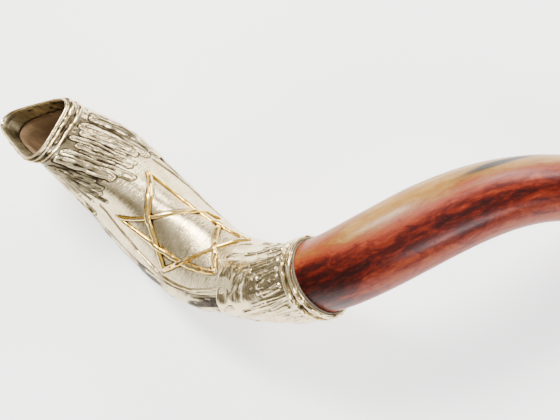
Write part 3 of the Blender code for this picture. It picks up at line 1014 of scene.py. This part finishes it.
def make_collar(name, start, end, rings, seed):
    """Plain band under a pair of ring wires, lumpy by hand and dark beside the wires."""
    phase, angle = round_chart(arc(start), arc(end), detail(0.6))
    length, across = arc(phase), angle * MOUTH_ROUND
    total = 2 * math.pi * MOUTH_ROUND
    lumps = around_noise(length, across, 5.0, 5.0, seed, total)
    grit = around_noise(length, across, 2.0, 2.4, seed + 1, total)
    beside = sum(bump_at(np.abs(length - arc(ring)), 1.9, 0.7) for ring in rings)
    height = lumps * 0.3 - beside * 0.25 + grit * 0.1
    recess = 0.08 + beside * (0.65 + 0.4 * grit) + np.clip(-lumps - 0.2, 0, 1) * 0.9
    lay_sheet(
        name, phase, angle, SHEET_TOP + height, recess,
        silver_bark_tooled, "silver", True, (0.6, 7.0),
    )


def make_shell():
    """Silver shell under the worked sheets, seen at the joints and at the sleeve's end."""
    phase, angle = grid(sheet_rows(2.0, arc(SLEEVE_END), 3.0), full_round(120))
    lay_sheet(
        "sleeve_shell", phase, angle, np.full(phase.shape, SHELL_TOP), np.full(phase.shape, 0.5),
        silver_sheet_satin, "silver", True, (0.0, 8.0), SHELL_FOOT,
    )


def make_bed():
    """Cement between the horn and the shell."""
    phase, angle = grid(sheet_rows(FLARE_MM, arc(SLEEVE_END) - 1.0, 4.0), full_round(96))
    lay_sheet(
        "adhesive_bed", phase, angle, np.full(phase.shape, BED_TOP), np.zeros(phase.shape),
        filler_cement_matt, "cement", True, (0.2, 3.0), BED_FOOT,
    )


# ---------------------------------------------------------------- wires


def make_ring(name, middle, radius, seed):
    """Round wire soldered round a collar, wavy and uneven by hand."""
    angles = full_round(round(420 / detail(1)))[None]
    turns = full_round(14)[:, None]
    place = angles / (2 * math.pi)
    sway = noise(seed, place * 44, seed, 44) * 0.7 + noise(seed, place * 13, seed + 2, 13) * 0.9
    swell = 1 + 0.2 * noise(seed + 3.0, place * 31, seed + 1, 31)
    along = arc(middle) + sway + radius * swell * np.cos(turns)
    height = SHEET_TOP + radius * 0.7 + radius * swell * np.sin(turns)
    angle = np.broadcast_to(angles, along.shape)
    # Darker down the wire's lower side: oxidised foot and painted shade.
    facts = {"recess": np.clip(-np.sin(turns) * 0.9 - 0.05, 0, 1)}
    mesh = chart_mesh(name, phase_at(along), angle, height, facts)
    wrap(name, mesh, material(silver_wire_polished), "silver")


def make_strip(name, path, wide, high, foot, closed, make, slot, seed):
    """Half-round wire along a flat path, its width and height uneven by hand."""
    ahead = np.roll(path, -1, 0) - np.roll(path, 1, 0) if closed else np.gradient(path, axis=0)
    ahead = ahead / np.linalg.norm(ahead, axis=1, keepdims=True)
    side = np.stack([-ahead[:, 1], ahead[:, 0]], -1)
    run = np.concatenate([[0], np.cumsum(np.linalg.norm(np.diff(path, axis=0), axis=1))])
    swell = (1 + 0.16 * noise(run / 5.0, seed, seed) + 0.07 * noise(run / 1.9, seed, seed + 3))[:, None]
    rise = (high * (1 + 0.16 * noise(run / 5.5, seed + 7, seed)))[:, None]
    turns = np.linspace(-0.18, math.pi + 0.18, 15)[None]
    offset = wide / 2 * swell * np.cos(turns)
    height = np.asarray(foot, float).reshape(-1, 1) + rise * np.sin(turns)
    crown = np.clip(np.sin(turns), 0, 1)
    # Darker down the wire's sides to its foot: oxidised and painted shade.
    facts = {"crown": crown, "recess": np.clip(0.6 - crown * 1.4, 0, 1)}
    length = path[:, :1] + side[:, :1] * offset
    angle = (path[:, 1:] + side[:, 1:] * offset) / ROUND
    mesh = chart_mesh(name, phase_at(length), angle, height, facts, closed_rows=closed)
    wrap(name, mesh, material(make), slot)


def make_border(name, knots, seed):
    """Thin wire laid along one edge of the smooth sheet."""
    knots = flat(knots)
    along = np.linspace(knots[0, 0], knots[-1, 0], 260)
    window = 31
    padded = np.pad(np.interp(along, *knots.T), window // 2, mode="edge")
    across = np.convolve(padded, np.ones(window) / window, "valid")
    path = np.stack([along, across + 0.5 * noise(along / 9, seed, seed)], -1)
    make_strip(name, path, 1.6, 1.0, SHEET_TOP - 0.1, False, silver_wire_polished, "silver", seed)


def crossings(start, ahead, others):
    """Shares along one side at which it crosses the sides of the other triangle."""
    found = []
    for k in range(3):
        corner, other = others[k], others[(k + 1) % 3] - others[k]
        cross = ahead[0] * other[1] - ahead[1] * other[0]
        gap = corner - start
        mine = (gap[0] * other[1] - gap[1] * other[0]) / cross
        theirs = (gap[0] * ahead[1] - gap[1] * ahead[0]) / cross
        if 0 < mine < 1 and 0 < theirs < 1:
            found.append(mine)
    return sorted(found)


def make_star():
    """Two triangles of flat gold wire, passing over and under each other in turn."""
    sizes = bpy.context.scene.shofar_sizes
    wide, high = sizes.star_width * 1000, sizes.star_height * 1000
    stars = (flat(STAR_A), flat(STAR_B))
    for index, name in enumerate(("star_triangle_a", "star_triangle_b")):
        mine, theirs = stars[index], stars[1 - index]
        points, lift = [], []
        passed = index
        for i in range(3):
            start, ahead = mine[i], mine[(i + 1) % 3] - mine[i]
            size = np.linalg.norm(ahead)
            share = np.linspace(0.012, 0.988, 120)
            rise = np.zeros(share.shape)
            for hit in crossings(start, ahead, theirs):
                if passed % 2 == 0:
                    rise = np.maximum(rise, 1.4 - np.abs(share - hit) * size / 7.0)
                passed += 1
            bend = noise(share * 3.0, i * 2.1 + index, 83) * np.sin(share * math.pi) * 1.2
            normal = np.array([-ahead[1], ahead[0]]) / size
            points.append(start + ahead * share[:, None] + normal * bend[:, None])
            lift.append(ease(rise) * high * 0.8)
        foot = SHEET_TOP - 0.05 + np.concatenate(lift)
        make_strip(
            name, np.concatenate(points), wide, high, foot, True,
            gold_plated_wire_polished, "gold", 81 + index,
        )


# ---------------------------------------------------------------- mouth


def make_rim():
    """Bright bead over the horn's cut end."""
    angles = full_round(round(300 / detail(1)))[None]
    # Height, and distance in front of the cut
    profile = np.array([
        (2.0, -0.4), (2.55, 0.3), (2.6, 0.9), (2.25, 1.4), (1.75, 1.4),
        (1.35, 0.9), (FLARE_TOP, 0.0), (FLARE_TOP, -1.2), (1.6, -1.4),
    ])
    wave = 1 + 0.1 * noise(2.0, angles * 40 / (2 * math.pi), 91, 40)
    phase = -profile[:, 1:] / MOUTH_ARC * wave
    height = np.broadcast_to(profile[:, :1], phase.shape)
    angle = np.broadcast_to(angles, phase.shape)
    # Darker towards the bore: painted shade inside the mouth.
    facts = {"recess": np.clip(0.3 - profile[:, 1:] * 0.6, 0, 0.6)}
    mesh = chart_mesh("mouth_rim", phase, angle, height, facts)
    wrap("mouth_rim", mesh, material(silver_wire_polished), "silver", (0.25, 6.0))


def make_lip():
    """Silver turned into the bore, torn to a ragged edge."""
    angles = full_round(300)
    place = angles / (2 * math.pi)
    ragged = 10.0 + 2.4 * noise(1.5, place * 9, 95, 9) + 1.0 * noise(2.5, place * 38, 96, 38)
    share = np.linspace(0, 1, 14)[:, None]
    depth = 0.2 + ragged * share
    phase = depth / MOUTH_ARC
    angle = np.broadcast_to(angles, phase.shape)
    bore, height = mouth_flare(depth)
    blotches = np.clip(noise(share * 5, place * 30, 97, 30), 0, 1)
    # Painted shade over the whole lip inside the bore, with blotchy tarnish, darker still at its deep ragged
    # edge.
    tarnish_and_shade = 0.5 + 0.25 * blotches + 0.3 * ease(share * 5 - 4)
    lay_sheet(
        "mouth_lip", phase, angle, height - 0.1, tarnish_and_shade,
        silver_sheet_satin, "silver", True, (0.4, 5.0), height + LIP_OVER - 0.05, bore,
    )


# ---------------------------------------------------------------- stage


# Camera: its turns about the coil's axes, where it stands from the point it turns about, and its lens
CAMERA_ROLL = -0.0326
CAMERA_SWING = -0.2048
CAMERA_STAND = (0.0, 7.99, 1125.0)
CAMERA_PIVOT = (203.32, 0.0, 0.0)
LENS_MM = 96.43


def camera_matrix():
    """Camera over the bell half, placed in the coil's frame and carried into the resting one."""
    turn = Matrix.Rotation(CAMERA_ROLL, 3, "Z") @ Matrix.Rotation(CAMERA_SWING, 3, "Y")
    stand = turn.transposed() @ Vector(CAMERA_STAND) + Vector(CAMERA_PIVOT)
    axes = Matrix([list(axis) for axis in row_axes()])
    matrix = (axes @ turn.transposed()).to_4x4()
    matrix.translation = axes @ (stand - Vector(REST_CENTRE)) * 0.001
    return matrix


def make_world():
    """Studio dome: bright overhead and dimmer near the floor, so that curved metal shows form."""
    world = bpy.data.worlds.new("studio")
    world.use_nodes = True
    tree = world.node_tree
    ray = node(tree, "ShaderNodeTexCoord").outputs["Generated"]
    up = Field(tree, node(tree, "ShaderNodeSeparateXYZ", {0: ray}).outputs[2])
    stops = (
        (0.0, (0.20, 0.18, 0.15, 1.0)),
        (0.35, (0.20, 0.185, 0.16, 1.0)),
        (0.7, (0.5, 0.49, 0.47, 1.0)),
        (0.92, (1.0, 1.0, 1.0, 1.0)),
    )
    dome = node(tree, "ShaderNodeValToRGB", {"Fac": up}, stops).outputs[0]
    back = tree.nodes["Background"]
    tree.links.new(dome, back.inputs["Color"])
    back.inputs["Strength"].default_value = 1.0
    bpy.context.scene.world = world


def make_stage():
    scene = bpy.context.scene
    mesh = bpy.data.meshes.new("floor")
    mesh.from_pydata([(-6, -6, 0), (6, -6, 0), (6, 6, 0), (-6, 6, 0)], [], [(0, 1, 2, 3)])
    mesh.materials.append(material(paper_floor_matt))
    floor = bpy.data.objects.new("floor", mesh)
    scene.collection.objects.link(floor)
    for name, place, size, power, tint in (
        ("key", (-0.9, 0.9, 1.5), (0.6, 0.6), 70.0, (1.0, 0.98, 0.95)),
        ("fill", (0.8, -1.3, 1.1), (1.2, 0.35), 32.0, (0.96, 0.98, 1.0)),
        ("back", (0.7, 1.4, 0.9), (1.2, 0.3), 34.0, (1.0, 1.0, 1.0)),
    ):
        light = bpy.data.lights.new(name, "AREA")
        light.shape = "RECTANGLE"
        light.size, light.size_y = size
        light.energy = power
        light.color = tint
        lamp = bpy.data.objects.new(name, light)
        lamp.location = place
        aim = Vector((-0.2, 0.0, 0.05)) - Vector(place)
        lamp.rotation_euler = aim.to_track_quat("-Z", "Y").to_euler()
        scene.collection.objects.link(lamp)
    make_world()
    data = bpy.data.cameras.new("camera")
    data.sensor_width = 36.0
    data.lens = LENS_MM
    camera = bpy.data.objects.new("camera", data)
    camera.matrix_world = camera_matrix()
    scene.collection.objects.link(camera)
    scene.camera = camera


# ---------------------------------------------------------------- add-on


def size_prop(name, description, millimetres):
    return bpy.props.FloatProperty(
        name=name,
        description=description,
        default=millimetres / 1000,
        min=0.0,
        precision=4,
        unit="LENGTH",
        subtype="DISTANCE",
    )


def colour_prop(name, description, code):
    return bpy.props.FloatVectorProperty(
        name=name,
        description=description,
        default=linear(code),
        size=4,
        min=0.0,
        max=1.0,
        subtype="COLOR",
    )


class ShofarSizes(bpy.types.PropertyGroup):
    """Sizes of the horn and of the star's wire."""

    pitch: size_prop("Pitch", "Length of one turn of the coil at the mouth", PITCH)
    coil_radius: size_prop("Coil radius", "From the coil's line to the bore, at the mouth", COIL_RADIUS)
    bell_radius: size_prop("Bell radius", "Mean radius of the bare horn at the bell", BELL_RADIUS)
    tip_radius: size_prop("Tip radius", "Mean radius of the bare horn at the tip", TIP_RADIUS)
    star_width: size_prop("Star wire width", "Width of the star's flat wire", STAR_WIDE)
    star_height: size_prop("Star wire height", "Height of the star's flat wire", STAR_HIGH)


class ShofarColours(bpy.types.PropertyGroup):
    """Colours of the horn, the sleeve and the floor."""

    silver: colour_prop("Silver", "Clean silver", "#EFDCAF")
    silver_haze: colour_prop("Hazed silver", "Silver under a thin tarnish", "#BFA878")
    # Also the colour of the painted shade that some pieces lay in their recess values.
    oxide: colour_prop("Oxide", "Black-brown left in the recesses", "#1C130B")
    gold: colour_prop("Gold", "Plating on the star", "#F2C85A")
    gold_deep: colour_prop("Deep gold", "Thicker plating on the star", "#D0962B")
    # Also the painted highlight on the star wires' crowns.
    gold_worn: colour_prop("Worn gold", "Plating rubbed thin on the crowns", "#FBEFCF")
    horn_pale: colour_prop("Pale horn", "Pale band along the horn", "#AC8345")
    horn_red: colour_prop("Red horn", "Red-brown body of the horn", "#8A3A1D")
    horn_dark: colour_prop("Dark horn", "Deep streaks in the horn", "#430802")
    horn_scar: colour_prop("Horn scar", "Grey-black scar on the pale band", "#241F1B")
    horn_tip: colour_prop("Horn tip", "Dark solid tip", "#1E1410")
    floor: colour_prop("Floor", "Paper floor", "#F8F8F6")


class SHOFAR_OT_horn(bpy.types.Operator):
    """Build the horn with its bore and the cup carved in its tip"""

    bl_idname = "shofar.horn"
    bl_label = "Horn"

    def execute(self, context):
        make_horn()
        return {"FINISHED"}


class SHOFAR_OT_shell(bpy.types.Operator):
    """Build the sleeve's silver shell and the cement under it"""

    bl_idname = "shofar.shell"
    bl_label = "Shell and cement"

    def execute(self, context):
        make_shell()
        make_bed()
        return {"FINISHED"}


class SHOFAR_OT_mouth_bark(bpy.types.Operator):
    """Build the tooled sheet by the mouth"""

    bl_idname = "shofar.mouth_bark"
    bl_label = "Mouth bark"

    def execute(self, context):
        make_mouth_bark()
        return {"FINISHED"}


class SHOFAR_OT_end_bark(bpy.types.Operator):
    """Build the tooled sheet at the horn end of the sleeve"""

    bl_idname = "shofar.end_bark"
    bl_label = "End bark"

    def execute(self, context):
        make_end_bark()
        return {"FINISHED"}


class SHOFAR_OT_panels(bpy.types.Operator):
    """Build the smooth sheet under the star and the textured sheet round the back"""

    bl_idname = "shofar.panels"
    bl_label = "Panels"

    def execute(self, context):
        make_star_panel()
        make_back_panel()
        return {"FINISHED"}


class SHOFAR_OT_collars(bpy.types.Operator):
    """Build the plain band at each end of the sleeve, with its two ring wires"""

    bl_idname = "shofar.collars"
    bl_label = "Collars"

    def execute(self, context):
        make_collar("mouth_collar", 0.0, COLLAR_END, MOUTH_RINGS, 111)
        make_collar("horn_end_collar", END_COLLAR_START, SLEEVE_END, END_RINGS, 113)
        make_ring("mouth_collar_wire_front", MOUTH_RINGS[0], 1.1, 101)
        make_ring("mouth_collar_wire_back", MOUTH_RINGS[1], 1.0, 103)
        make_ring("horn_end_wire_inner", END_RINGS[0], 1.1, 105)
        make_ring("horn_end_wire_outer", END_RINGS[1], 1.1, 107)
        return {"FINISHED"}


class SHOFAR_OT_borders(bpy.types.Operator):
    """Build the thin wires along the edges of the smooth sheet"""

    bl_idname = "shofar.borders"
    bl_label = "Borders"

    def execute(self, context):
        make_border("panel_border_lower", LOWER_BORDER, 71)
        make_border("panel_border_upper", UPPER_BORDER, 73)
        return {"FINISHED"}


class SHOFAR_OT_star(bpy.types.Operator):
    """Build the interlaced star of gold wire"""

    bl_idname = "shofar.star"
    bl_label = "Star"

    def execute(self, context):
        make_star()
        return {"FINISHED"}


class SHOFAR_OT_mouth(bpy.types.Operator):
    """Build the bead over the cut end and the silver turned into the bore"""

    bl_idname = "shofar.mouth"
    bl_label = "Mouth rim and lip"

    def execute(self, context):
        make_rim()
        make_lip()
        return {"FINISHED"}


class SHOFAR_OT_stage(bpy.types.Operator):
    """Build the floor, the lights and the camera"""

    bl_idname = "shofar.stage"
    bl_label = "Stage"

    def execute(self, context):
        make_stage()
        return {"FINISHED"}


BUILDERS = (
    SHOFAR_OT_horn,
    SHOFAR_OT_shell,
    SHOFAR_OT_mouth_bark,
    SHOFAR_OT_end_bark,
    SHOFAR_OT_panels,
    SHOFAR_OT_collars,
    SHOFAR_OT_borders,
    SHOFAR_OT_star,
    SHOFAR_OT_mouth,
    SHOFAR_OT_stage,
)


class SHOFAR_PT_builders(bpy.types.Panel):
    """Lists the sizes, the colours and the builders"""

    bl_idname = "SHOFAR_PT_builders"
    bl_label = "Shofar"
    bl_space_type = "VIEW_3D"
    bl_region_type = "UI"
    bl_category = "Shofar"

    def draw(self, context):
        for group in (context.scene.shofar_sizes, context.scene.shofar_colours):
            for name in group.__annotations__:
                self.layout.prop(group, name)
        for builder in BUILDERS:
            self.layout.operator(builder.bl_idname)


CLASSES = (ShofarSizes, ShofarColours, *BUILDERS, SHOFAR_PT_builders)


def register():
    for item in CLASSES:
        bpy.utils.register_class(item)
    bpy.types.Scene.shofar_sizes = bpy.props.PointerProperty(type=ShofarSizes)
    bpy.types.Scene.shofar_colours = bpy.props.PointerProperty(type=ShofarColours)


def unregister():
    del bpy.types.Scene.shofar_colours
    del bpy.types.Scene.shofar_sizes
    for item in reversed(CLASSES):
        bpy.utils.unregister_class(item)


def main():
    register()
    for builder in BUILDERS:
        getattr(bpy.ops.shofar, builder.bl_idname.split(".")[1])()


if __name__ == "__main__":
    main()
